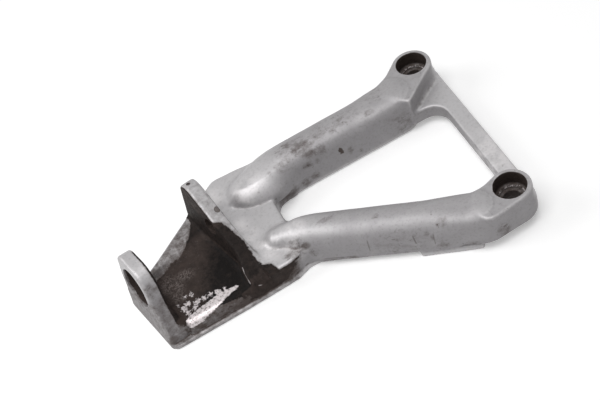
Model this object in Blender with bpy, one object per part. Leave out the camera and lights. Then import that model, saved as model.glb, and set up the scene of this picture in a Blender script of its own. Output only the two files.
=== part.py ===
import bmesh
import bpy
import math
from mathutils import Matrix, Vector

# Footrest hanger: one aluminium casting, metres, Z up, flat back on Z = 0.
# X runs from the clevis to the two bolt bosses, Y from the near boss to the far boss.

NAME = "hanger_casting"
MM = 0.001

# levels, and how far each lies below the boss faces
BACK_Z = 0.0
FACE_Z = 21.0 * MM              # boss faces and pads
FAR_CROWN_RISE = 1.0 * MM       # crown of the far arm above the boss faces
NEAR_CROWN_DROP = 0.4 * MM
DECK_DROP = 8.0 * MM
POCKET_DROP = 11.5 * MM
STRAP_DROP = 9.5 * MM
STRAP_THICK = 7.5 * MM
NEAR_BACK_RISE = 2.2 * MM       # back of the near arm above the flat back
PAD_THICK = 15.5 * MM
DECK_Z = FACE_Z - DECK_DROP         # web between the arm roots
POCKET_Z = FACE_Z - POCKET_DROP     # floor between the clevis ears
STRAP_TOP_Z = FACE_Z - STRAP_DROP
STRAP_LOW_Z = STRAP_TOP_Z - STRAP_THICK
PAD_LOW_Z = FACE_Z - PAD_THICK

# bolt bosses: (x, y) of the two bores
BOSS_X = 145.0 * MM
BOSS_Y = 47.85 * MM
BOSS_RADIUS = 9.8 * MM
COUNTERBORE_RADIUS = 7.5 * MM
COUNTERBORE_DEPTH = 8.0 * MM
SEAT_RADIUS = 6.3 * MM
SEAT_DEPTH = 0.7 * MM
BOLT_RADIUS = 4.3 * MM
STRAP_OUT = 10.6                # mm beyond the bores, outer and inner side of the strap
STRAP_IN = 2.2

# arms: half widths, and what is left straight beside the end corners and the crown
FAR_HALF = 10.3 * MM
NEAR_HALF = 9.5 * MM
END_FLAT = 0.6 * MM
CROWN_FLAT = 1.4 * MM
ARM_BEND = 20.0 * MM
FAR_PATH = ((36.5, 27.2), (57.0, 35.3), (136.6, 36.95))
NEAR_PATH = ((39.0, -6.4), (60.0, -11.8), (134.8, -52.1))

# clevis ears: plane X = offset + turn * y + EAR_LEAN * z, seen from the boss faces
OUTER_TURN = -0.24
INNER_TURN = -0.29
EAR_LEAN = 0.15
EAR_THICK = 7.0 * MM
INNER_EAR_THICK = 7.4 * MM
OUTER_EAR_X = -21.7 * MM        # outer face of the end ear, at y = 0 on the face level
INNER_EAR_X = 25.0 * MM         # pocket side of the inner ear
EYE_RADIUS = 10.0 * MM
EYE_Y = -1.1 * MM
EYE_Z = FACE_Z + 2.3 * MM
PIN_RADIUS = 4.1 * MM
PIN_AXIS = (1.0, 0.33, -0.04)

EDGE = 1.2 * MM                 # cast edge rounding
ARC_STEP = math.radians(15.0)


def collection(name):
    found = bpy.data.collections.get(name) or bpy.data.collections.new(name)
    if found.name not in bpy.context.scene.collection.children:
        bpy.context.scene.collection.children.link(found)
    return found


def rounded(corners, step=ARC_STEP):
    """Corners are (x, y, radius); the outline comes back with its corners turned into arcs."""
    outline = []
    count = len(corners)
    for index, (x, y, radius) in enumerate(corners):
        here = Vector((x, y))
        before = Vector(corners[index - 1][:2]) - here
        after = Vector(corners[(index + 1) % count][:2]) - here
        if radius <= 0.0:
            outline.append(here)
            continue
        inner = before.angle(after)
        reach = radius / math.tan(inner / 2)
        start = here + before.normalized() * reach
        end = here + after.normalized() * reach
        middle = here + (before.normalized() + after.normalized()).normalized() * (
            radius / math.sin(inner / 2))
        turn = math.pi - inner
        steps = max(1, math.ceil(turn / step))
        first = start - middle
        side = 1.0 if first.cross(end - middle) > 0 else -1.0
        for k in range(steps + 1):
            angle = side * turn * k / steps
            outline.append(middle + Vector((
                first.x * math.cos(angle) - first.y * math.sin(angle),
                first.x * math.sin(angle) + first.y * math.cos(angle))))
    return outline


def strip(path, half, end_radius, bend_radius):
    """Outline of a bar of constant width along a path of three points, in mm."""
    points = [Vector(point) for point in path]
    first = (points[1] - points[0]).normalized()
    last = (points[2] - points[1]).normalized()
    left = [Vector((-first.y, first.x)), Vector((-last.y, last.x))]
    mitre = (left[0] + left[1]).normalized()
    mitre /= mitre.dot(left[0])
    half = half / MM
    corners = []
    for point, side, radius in (
            (points[0], -left[0], end_radius), (points[1], -mitre, bend_radius),
            (points[2], -left[1], end_radius), (points[2], left[1], end_radius),
            (points[1], mitre, bend_radius), (points[0], left[0], end_radius)):
        spot = point + side * half
        corners.append((spot.x * MM, spot.y * MM, radius))
    return rounded(corners)


def plate(name, outline, low, high, edge=0.0, rings=1, where="hanger"):
    """A flat outline raised from low to high, with its edges rounded by edge."""
    curve = bpy.data.curves.new(name, "CURVE")
    curve.dimensions = "2D"
    curve.fill_mode = "BOTH"
    curve.extrude = ((high - low) / 2 - edge) / MM
    curve.bevel_depth = edge / MM
    curve.bevel_resolution = rings
    curve.offset = -edge / MM
    spline = curve.splines.new("POLY")
    spline.points.add(len(outline) - 1)
    for point, spot in zip(spline.points, outline):
        point.co = (spot[0] / MM, spot[1] / MM, 0.0, 1.0)
    spline.use_cyclic_u = True
    maker = bpy.data.objects.new(name, curve)
    bpy.context.scene.collection.objects.link(maker)
    bpy.context.view_layer.update()
    mesh = bpy.data.meshes.new_from_object(
        maker.evaluated_get(bpy.context.evaluated_depsgraph_get()))
    bpy.data.objects.remove(maker)
    mesh.name = name
    body = bpy.data.objects.new(name, mesh)
    collection(where).objects.link(body)
    work = bmesh.new()
    work.from_mesh(mesh)
    bmesh.ops.remove_doubles(work, verts=work.verts, dist=0.001)
    bmesh.ops.dissolve_degenerate(work, edges=work.edges, dist=0.001)
    bmesh.ops.scale(work, verts=work.verts, vec=(MM, MM, MM))
    bmesh.ops.recalc_face_normals(work, faces=work.faces)
    bmesh.ops.translate(work, verts=work.verts, vec=(0.0, 0.0, (low + high) / 2))
    work.to_mesh(mesh)
    work.free()
    return body


def hull(points):
    points = sorted(points)
    chains = []
    for run in (points, points[::-1]):
        chain = []
        for x, y in run:
            while len(chain) > 1 and ((chain[-1][0] - chain[-2][0]) * (y - chain[-2][1])
                                      <= (chain[-1][1] - chain[-2][1]) * (x - chain[-2][0])):
                chain.pop()
            chain.append((x, y))
        chains += chain[:-1]
    return chains


def circle(x, y, radius, sides):
    return [(x + radius * math.cos(math.tau * k / sides),
             y + radius * math.sin(math.tau * k / sides)) for k in range(sides)]


def arm(name, path, half, back, crown):
    """Rounded bar along a path, flat behind."""
    outline = strip(path, half, half - END_FLAT, ARM_BEND)
    body = plate(name, outline, back - 15.0 * MM, crown, half - CROWN_FLAT, 3)
    combine(body, [ground(name + "_back_cut", back)], "DIFFERENCE")
    return body


def ground(name, top):
    """Wide block that clears everything below a level."""
    return plate(name, [(-60 * MM, -80 * MM), (190 * MM, -80 * MM), (190 * MM, 80 * MM),
                        (-60 * MM, 80 * MM)], top - 60 * MM, top, where="cutters")


def tongue(name, y, arm_end, tail):
    """Flat pad that wraps a bolt boss and runs back into the arm end."""
    outline = hull(circle(BOSS_X, y, BOSS_RADIUS, 40) + [
        ((arm_end[0] + x) * MM, (arm_end[1] + t) * MM) for x, t in tail])
    return plate(name, outline, PAD_LOW_Z, FACE_Z, EDGE)


def drum(name, radius, low, high, x, y, sides=32, where="cutters"):
    return plate(name, circle(x, y, radius, sides), low, high, where=where)


def combine(body, others, operation):
    for other in others:
        step = body.modifiers.new(other.name, "BOOLEAN")
        step.operation = operation
        step.solver = "EXACT"
        step.object = other
    bpy.context.view_layer.update()
    mesh = bpy.data.meshes.new_from_object(
        body.evaluated_get(bpy.context.evaluated_depsgraph_get()))
    body.modifiers.clear()
    body.data = mesh
    for other in others:
        bpy.data.objects.remove(other)


def ear_frame(offset, lean_in):
    """Matrix and origin of an ear: local X to the far side, local Y up, local Z through it."""
    through = Vector((1.0, -lean_in, -EAR_LEAN)).normalized()
    along = Vector((0.0, 1.0, 0.0))
    along = (along - through * along.dot(through)).normalized()
    up = through.cross(along)
    origin = Vector((offset + lean_in * EYE_Y + EAR_LEAN * (EYE_Z - FACE_Z), EYE_Y, EYE_Z))
    return Matrix((along, up, through)).transposed().to_4x4(), origin


def pin_frame():
    """Turn of the pin axis, and where it passes the eye and the inner ear."""
    axis = Vector(PIN_AXIS)
    eye = ear_frame(OUTER_EAR_X, OUTER_TURN)[1]
    turn = axis.to_track_quat("Z", "Y").to_matrix().to_4x4()
    return turn, eye, eye + axis * ((INNER_EAR_X - OUTER_EAR_X) * 0.91)


def build():
    for item in list(bpy.data.objects):
        bpy.data.objects.remove(item)

    def spots(*corners):
        return rounded([(x * MM, y * MM, r * MM) for x, y, r in corners])

    # web and clevis base
    base = plate("base", spots(
        (-31.0, 11.8, 2.0), (-14.0, 13.6, 10.0), (15.6, 33.0, 12.0), (33.4, 48.0, 9.0),
        (60.0, 46.0, 4.0), (66.0, 24.8, 4.0), (53.4, 22.2, 9.0), (53.4, 1.0, 7.5),
        (66.0, -6.0, 4.0), (62.0, -20.6, 0.0), (57.6, -18.6, 5.0), (52.4, -18.8, 5.0),
        (45.5, -21.6, 6.0), (-24.0, -24.7, 7.0)),
        BACK_Z, DECK_Z, EDGE * 1.4, 2)
    lip = plate("lip", spots(
        (-18.5, -25.7, 2.5), (-18.5, -20.0, 0.0), (50.0, -14.0, 0.0), (66.0, -19.0, 0.0),
        (64.6, -22.6, 0.0), (58.4, -19.5, 4.0), (53.0, -19.5, 4.0), (46.5, -22.3, 5.0),
        (20.0, -24.1, 0.0)), BACK_Z, 2.2 * MM, 0.5 * MM)

    # the clevis end follows the outer ear; the pocket is open on the near side
    turn, origin = ear_frame(OUTER_EAR_X, OUTER_TURN)
    end_cut = plate("end_cut", spots((-60, -60, 0), (60, -60, 0), (60, 60, 0), (-60, 60, 0)),
                    -40.0 * MM, 0.0, where="cutters")
    end_cut.data.transform(Matrix.Translation(origin) @ turn)
    pocket_cut = plate("pocket_cut", spots(
        (0.0, -60.0, 0.0), (-18.5, 3.0, 5.0), (-3.0, 10.0, 12.0), (17.5, 24.5, 3.0),
        (42.0, -60.0, 0.0)), POCKET_Z, POCKET_Z + 30.0 * MM, 3.0 * MM, 2, "cutters")
    brow_cut = plate("brow_cut", spots(
        (-40.0, -5.0, 0.0), (-25.0, 2.6, 0.0), (-25.0, 9.5, 6.3), (-10.0, 9.5, 0.0),
        (-10.0, 40.0, 0.0), (-40.0, 40.0, 0.0)), -40.0 * MM, 30.0 * MM, where="cutters")
    brow_cut.data.transform(Matrix(((0, 0, 1, 0), (1, 0, 0, 0), (0, 1, 0, 0), (0, 0, 0, 1))))
    combine(base, [end_cut, pocket_cut, brow_cut], "DIFFERENCE")

    # arms
    far_arm = arm("far_arm", FAR_PATH, FAR_HALF, BACK_Z - MM, FACE_Z + FAR_CROWN_RISE)
    near_arm = arm("near_arm", NEAR_PATH, NEAR_HALF, BACK_Z + NEAR_BACK_RISE,
                   FACE_Z - NEAR_CROWN_DROP)

    back_pad = plate("back_pad", spots(
        (103.0, -36.0, 0.0), (128.0, -50.0, 0.0), (124.4, -56.4, 1.5), (98.6, -43.9, 1.5)),
        BACK_Z, BACK_Z + NEAR_BACK_RISE + 1.2 * MM, 0.4 * MM)

    # tongues from the arm ends out round the bosses
    far_pad = tongue("far_pad", BOSS_Y, FAR_PATH[2], ((-12.5, 5.6), (-13.0, -1.0), (-4.4, -11.2)))
    near_pad = tongue("near_pad", -BOSS_Y, NEAR_PATH[2], ((-6.0, 9.0), (-7.8, 1.1), (-0.4, -7.5)))
    # strap that ties the bosses, with its gusset at the far end
    outer, inner, tie = BOSS_X / MM + STRAP_OUT, BOSS_X / MM + STRAP_IN, BOSS_Y / MM
    strap = plate("strap", spots(
        (outer, tie - 3.9, 0.0), (outer, 2.0 - tie, 0.0), (inner, 2.0 - tie, 0.0),
        (inner, 10.0 - tie, 2.0), (inner, tie - 22.2, 8.6), (inner - 15.0, tie - 22.2, 0.0),
        (inner - 15.0, tie - 13.9, 0.0)),
        STRAP_LOW_Z, STRAP_TOP_Z, EDGE * 0.8)

    # ears
    def ear(name, offset, lean_in, thick, corners):
        turn, origin = ear_frame(offset, lean_in)
        body = plate(name, spots(*corners), 0.0, thick, EDGE, 2)
        body.data.transform(Matrix.Translation(origin) @ turn)
        return body

    end_ear = ear("end_ear", OUTER_EAR_X, OUTER_TURN, EAR_THICK, (
        (13.2, -26.0, 0.0), (13.6, 13.4, 6.5), (-7.0, 13.4, 9.5), (-13.6, 1.0, 9.0),
        (-23.6, -15.5, 5.0), (-24.2, -26.0, 0.0)))
    inner_ear = ear("inner_ear", INNER_EAR_X, INNER_TURN, INNER_EAR_THICK, (
        (35.4, -26.0, 0.0), (35.4, 10.8, 4.0), (29.0, 10.8, 6.0), (10.0, 1.5, 40.0),
        (-21.0, -12.5, 8.0), (-22.0, -26.0, 0.0)))
    # cuts: flat back, pocket between the ears, eye, pin hole and counterbored bolt holes
    cuts = [ground("floor_cut", BACK_Z)]
    turn, eye, pin_seat = pin_frame()
    for name, radius, spot in (("eye_cut", EYE_RADIUS, eye), ("pin_cut", PIN_RADIUS, pin_seat)):
        cut = drum(name, radius, -4.0 * MM, EAR_THICK + 4.0 * MM, 0.0, 0.0)
        cut.data.transform(Matrix.Translation(spot) @ turn)
        cuts.append(cut)
    for side, y in (("far", BOSS_Y), ("near", -BOSS_Y)):
        cuts.append(drum(side + "_bore", BOLT_RADIUS, STRAP_LOW_Z - 5 * MM, FACE_Z + MM, BOSS_X, y))
        cuts.append(drum(side + "_counterbore", COUNTERBORE_RADIUS, FACE_Z - COUNTERBORE_DEPTH,
                         FACE_Z + MM, BOSS_X, y, 40))
        cuts.append(drum(side + "_seat", SEAT_RADIUS, FACE_Z - COUNTERBORE_DEPTH - SEAT_DEPTH,
                         FACE_Z - COUNTERBORE_DEPTH + MM, BOSS_X, y))
    combine(base, [end_ear, inner_ear, far_pad, near_pad, strap, far_arm, near_arm,
                   lip, back_pad], "UNION")
    combine(base, cuts, "DIFFERENCE")
    base.name = NAME

    # silver paint, and smooth shading between the sharp edges
    paint = bpy.data.materials.new("painted_casting")
    paint.use_nodes = True
    shader = paint.node_tree.nodes["Principled BSDF"]
    shader.inputs["Base Color"].default_value = (0.52, 0.51, 0.52, 1.0)
    shader.inputs["Metallic"].default_value = 0.6
    shader.inputs["Roughness"].default_value = 0.42
    base.data.materials.clear()
    base.data.materials.append(paint)
    for face in base.data.polygons:
        face.material_index = 0
        face.use_smooth = True
    base.data.set_sharp_from_angle(angle=math.radians(32.0))
    print("casting triangles", sum(len(face.vertices) - 2 for face in base.data.polygons))


build()
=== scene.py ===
import bpy
import math
import numpy as np
from mathutils import Matrix, Vector


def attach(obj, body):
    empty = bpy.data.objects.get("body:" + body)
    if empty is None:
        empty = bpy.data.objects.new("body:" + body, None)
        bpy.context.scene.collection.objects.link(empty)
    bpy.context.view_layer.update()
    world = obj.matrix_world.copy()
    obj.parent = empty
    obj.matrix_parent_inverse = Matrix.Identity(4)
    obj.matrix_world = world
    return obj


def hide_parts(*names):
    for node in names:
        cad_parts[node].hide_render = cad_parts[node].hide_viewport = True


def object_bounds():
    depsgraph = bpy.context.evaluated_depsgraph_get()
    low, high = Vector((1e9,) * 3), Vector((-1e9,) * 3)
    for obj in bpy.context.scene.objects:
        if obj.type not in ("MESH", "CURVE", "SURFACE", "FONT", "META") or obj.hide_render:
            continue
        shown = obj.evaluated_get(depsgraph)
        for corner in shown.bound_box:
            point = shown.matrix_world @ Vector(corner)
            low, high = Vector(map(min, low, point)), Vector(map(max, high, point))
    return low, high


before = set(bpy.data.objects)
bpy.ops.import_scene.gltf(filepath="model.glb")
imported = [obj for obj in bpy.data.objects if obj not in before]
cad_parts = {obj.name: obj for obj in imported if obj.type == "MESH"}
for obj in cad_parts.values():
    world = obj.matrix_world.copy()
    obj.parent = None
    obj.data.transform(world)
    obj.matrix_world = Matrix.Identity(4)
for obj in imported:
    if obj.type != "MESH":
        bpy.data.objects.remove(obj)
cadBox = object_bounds()
print("frame loaded")

# shape of the casting
# X runs from the clevis to the bolt bosses, Y from the near boss to the far boss, Z up, in mm

casting = {
    "cell": 0.65,            # mesh size
    "deckZ": 13.0, "pocketZ": 9.5, "faceZ": 21.0,
    "base": ((-31, 11.8, 2), (-14, 13.6, 10), (10, 31.7, 12), (31.9, 48.1, 8), (44, 47.7, 6), (60, 46, 4),
             (66, 24.8, 4), (53.4, 22.2, 9), (53.4, 1, 7.5), (66, -6, 4), (62, -20.6, 0),
             (57.6, -18.6, 5), (52.4, -18.8, 5), (45.5, -21.6, 6), (-24, -24.7, 7)),
    "lip": ((-18.5, -25.7, 2.5), (-18.5, -20, 0), (50, -14, 0), (66, -19, 0), (64.6, -22.6, 0),
            (58.4, -19.5, 4), (53, -19.5, 4), (46.5, -22.3, 5), (20, -24.1, 0)),
    "pocket": ((-2, -60, 0), (-17.5, 2, 4), (-16, 12, 0), (-8, 17, 0), (12, 32, 0), (24, 34, 0),
               (42, -60, 0)),
    # far wall of the pocket starts at y = 10.9 + 0.115 (x + 6)
    "floorLine": (10.9, 0.115), "ridgeInset": 2.2,
    "browLine": (-20.4, 0.045), "browRadius": 4.6,      # near edge of the pocket rolls over from here
    "flare": ((37.6, 30), (36.6, 26.4), (39.4, 22.0), (44.6, 18.8), (51.9, 17.3), (57.0, 17.7),
              (60.6, 19.6),
              (64, 22.6), (67.6, 26), (70, 30), (64, 33), (54, 35), (42, 33)),
    "flareSlope": 1.3, "flareRise": 6.0, "flareLow": 8.0,
    "backPad": ((103, -36, 0), (128, -50, 0), (124.4, -56.4, 1.5), (98.6, -43.9, 1.5)),
    "webBlend": 4.0, "edge": 1.2,
}

arms = {
    "far": {"path": ((43.8, 30.4), (51.5, 32.4), (59, 34.3), (66.5, 35.4), (128.2, 37.0)),
            "radius": ((0, 8.6), (7, 11.0), (15, 11.3), (26, 10.5), (200, 10.5)),
            "crown": ((0, 18.6), (6, 20.6), (20, 21.9), (60, 22.1), (200, 22.3)),
            "back": ((0, 0.0), (200, 0.0)),
            "squareness": ((0, 2.05), (66, 2.15), (84, 3.4))},
    "near": {"path": ((46.6, -5.8), (50, -6.6), (55.4, -9.0), (62, -12.5), (69, -16.5), (127.5, -48.2)),
             "radius": ((0, 4.7), (5, 7.6), (11, 9.2), (20, 9.6), (200, 9.5)),
             "crown": ((0, 16.8), (6, 19.6), (14, 21.0), (60, 21.4), (200, 21.9)),
             "back": ((0, 2.2), (76, 2.2), (90, 5.0)),
             "squareness": ((0, 2.05), (70, 2.2), (88, 3.4))},
}

bosses = {
    "x": 145.0, "y": 47.85, "radius": 9.8, "padLow": 5.5,
    "farTail": ((124.5, 42.6), (124.0, 36.0), (132.6, 25.8)),
    "nearTail": ((128.8, -43.1), (125.6, -50.0), (126.4, -55.4), (127.8, -57.9), (130.0, -59.3),
                 (132.2, -59.58), (134.4, -59.3)),
    "strap": ((155.6, 44, 0), (155.6, -46, 0), (147.2, -46, 0), (147.2, 25.6, 8.6),
              (132, 25.6, 0), (132, 34, 0)),
    "strapLow": 4.0, "strapTop": 11.5, "shoulderTop": 12.5, "archDip": 0.8,
    "counterbore": 7.5, "counterboreDeep": 8.0, "seat": 6.3, "seatDeep": 0.7, "bolt": 4.3,
}

ears = {
    "lean": 0.15, "eyeY": -1.1, "eyeZ": 23.3, "eyeRadius": 10.0,
    "pinRadius": 4.1, "pinAxis": (1.0, 0.33, -0.04),
    "end": {"offset": -21.7, "turn": -0.24, "thick": 7.0, "outline": (
        (13.2, -26, 0), (13.6, 13.4, 6.5), (-7, 13.4, 9.5), (-12.9, 1.5, 9), (-23.3, -16.2, 7),
        (-24.0, -26, 0)),
        "flare": 2.2},
    "inner": {"offset": 25.0, "turn": -0.29, "thick": 7.4, "outline": (
        (36.3, -26, 0), (36.3, 10.8, 4), (29, 10.8, 6), (10, 1.5, 40), (-20.4, -12.2, 5), (-22, -26, 0)),
        "flare": 3.2},
    "collar": 13.5,
    "marks": (((28.2, 14.8, 28.0), (-0.44, 0.90), 1.8), ((21.3, 30.9, 34.4), (0.0, 1.0), 1.0)),
}


def rounded(corners, step=0.2):
    # corners (x, y, radius) become a closed outline with arcs
    outline = []
    for k, (x, y, radius) in enumerate(corners):
        here = np.array((x, y), float)
        before = np.array(corners[k - 1][:2], float) - here
        after = np.array(corners[(k + 1) % len(corners)][:2], float) - here
        if radius <= 0:
            outline.append(here)
            continue
        before /= np.linalg.norm(before)
        after /= np.linalg.norm(after)
        inner = math.acos(np.clip(before @ after, -1, 1))
        start = here + before * radius / math.tan(inner / 2)
        end = here + after * radius / math.tan(inner / 2)
        middle = (before + after) / np.linalg.norm(before + after)
        middle = here + middle * radius / math.sin(inner / 2)
        turn = math.pi - inner
        first = start - middle
        last = end - middle
        side = 1.0 if first[0] * last[1] - first[1] * last[0] > 0 else -1.0
        steps = max(1, math.ceil(turn / step))
        for j in range(steps + 1):
            angle = side * turn * j / steps
            outline.append(middle + np.array((first[0] * math.cos(angle) - first[1] * math.sin(angle),
                                              first[0] * math.sin(angle) + first[1] * math.cos(angle))))
    return np.array(outline)


def hullOf(points):
    points = sorted(map(tuple, points))
    chains = []
    for run in (points, points[::-1]):
        chain = []
        for x, y in run:
            while len(chain) > 1 and ((chain[-1][0] - chain[-2][0]) * (y - chain[-2][1])
                                      <= (chain[-1][1] - chain[-2][1]) * (x - chain[-2][0])):
                chain.pop()
            chain.append((x, y))
        chains += chain[:-1]
    return np.array(chains)


def outlineDistance(px, py, outline):
    # signed distance to a closed outline, negative inside
    best = np.full(px.shape, 1e9, np.float32)
    inside = np.zeros(px.shape, bool)
    for (ax, ay), (bx, by) in zip(outline, np.roll(outline, -1, axis=0)):
        ex, ey = bx - ax, by - ay
        wx, wy = px - ax, py - ay
        t = np.clip((wx * ex + wy * ey) / (ex * ex + ey * ey), 0, 1)
        best = np.minimum(best, (wx - ex * t) ** 2 + (wy - ey * t) ** 2)
        if abs(ey) > 1e-9:
            inside ^= ((ay > py) != (by > py)) & (px < ex * wy / ey + ax)
    best = np.sqrt(best)
    return np.where(inside, -best, best)


def slab(flat, z, low, high, edge):
    # outline distance raised from low to high, edges rounded
    dz = np.abs(z - (low + high) / 2) - (high - low) / 2
    a, b = flat + edge, dz + edge
    return np.minimum(np.maximum(a, b), 0) + np.hypot(np.maximum(a, 0), np.maximum(b, 0)) - edge


def blend(a, b, k):
    h = np.maximum(k - np.abs(a - b), 0) / k
    return np.minimum(a, b) - h * h * k / 4


def carve(a, b, k):
    return -blend(-a, b, k)


def onlyNear(x, y, z, low, high, make, away=9.0):
    # a piece's distance where a point is near its box, a large value elsewhere
    out = np.full(x.shape, away, np.float32)
    near = ((x > low[0]) & (x < high[0]) & (y > low[1]) & (y < high[1]) & (z > low[2]) & (z < high[2]))
    if near.any():
        out[near] = make(x[near], y[near], z[near])
    return out


def smoothPath(points, rounds=3):
    points = np.array(points, float)
    for _ in range(rounds):
        cut = [points[0]]
        for a, b in zip(points[:-1], points[1:]):
            cut += [a * 0.75 + b * 0.25, a * 0.25 + b * 0.75]
        cut[1] = (points[0] + points[1]) / 2
        points = np.array(cut + [points[-1]])
    return points


def along(table, s):
    at = np.array(table, float)
    return np.interp(s, at[:, 0], at[:, 1]).astype(np.float32)


def eased(table, s, soft=6.0):
    # the table's value, softened over a few mm along the arm
    return (along(table, s - soft) + along(table, s - soft / 2) + along(table, s)
            + along(table, s + soft / 2) + along(table, s + soft)) / 5


def armDistance(x, y, z, arm, path):
    # rounded bar that follows the path: half-round crown, straight sides
    best = np.full(x.shape, 1e9, np.float32)
    travel = np.zeros(x.shape, np.float32)
    gone = 0.0
    for a, b in zip(path[:-1], path[1:]):
        e = b - a
        length = float(np.hypot(*e))
        t = np.clip(((x - a[0]) * e[0] + (y - a[1]) * e[1]) / (length * length), 0, 1)
        d = (x - a[0] - e[0] * t) ** 2 + (y - a[1] - e[1] * t) ** 2
        closer = d < best
        best = np.where(closer, d, best)
        travel = np.where(closer, gone + t * length, travel)
        gone += length
    side = np.sqrt(best) + 1e-4
    radius = eased(arm["radius"], travel)
    crown = eased(arm["crown"], travel)
    back = eased(arm["back"], travel, 2.0)
    rise = np.maximum(z - (crown - radius), 0)
    p = eased(arm["squareness"], travel, 3.0)
    bar = ((side / radius) ** p + (rise / radius) ** p) ** (1 / p) * radius - radius
    return -blend(-bar, -(back - z), 2.4)


def earAxes(ear):
    through = Vector((1.0, -ear["turn"], -ears["lean"])).normalized()
    across = Vector((0.0, 1.0, 0.0))
    across = (across - through * across.dot(through)).normalized()
    up = through.cross(across)
    origin = Vector((ear["offset"] + ear["turn"] * ears["eyeY"]
                     + ears["lean"] * (ears["eyeZ"] - casting["faceZ"]),
                     ears["eyeY"], ears["eyeZ"]))
    return across, up, through, origin


def earLocal(x, y, z, ear):
    across, up, through, origin = earAxes(ear)
    x, y, z = x - origin.x, y - origin.y, z - origin.z
    return [x * a.x + y * a.y + z * a.z for a in (across, up, through)]


def ease(t):
    t = np.clip(t, 0, 1)
    return t * t * (3 - 2 * t)


outlines = {name: rounded(casting[name]) for name in ("base", "lip", "pocket", "backPad")}
outlines["flare"] = smoothPath(casting["flare"] + casting["flare"][:1])[:-1]
outlines["strap"] = rounded(bosses["strap"])
for name in ("end", "inner"):
    outlines[name] = rounded(ears[name]["outline"])
ring = [(bosses["x"] + bosses["radius"] * math.cos(a), bosses["radius"] * math.sin(a))
        for a in np.linspace(0, math.tau, 48, endpoint=False)]
outlines["farPad"] = hullOf([(x, y + bosses["y"]) for x, y in ring] + list(bosses["farTail"]))
outlines["nearPad"] = hullOf([(x, y - bosses["y"]) for x, y in ring] + list(bosses["nearTail"]))
paths = {side: smoothPath(arms[side]["path"]) for side in ("far", "near")}
for side, sign in (("far", 1), ("near", -1)):
    # below the arm's rounded top, one wall runs from the arm round the boss
    end = paths[side][-1]
    wide = arms[side]["radius"][-1][1]
    tip = [(end[0] + (x - bosses["x"]) * wide / bosses["radius"],
            end[1] + y * wide / bosses["radius"]) for x, y in ring]
    outlines[side + "Shoulder"] = hullOf([(x, y + sign * bosses["y"]) for x, y in ring] + tip)


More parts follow.
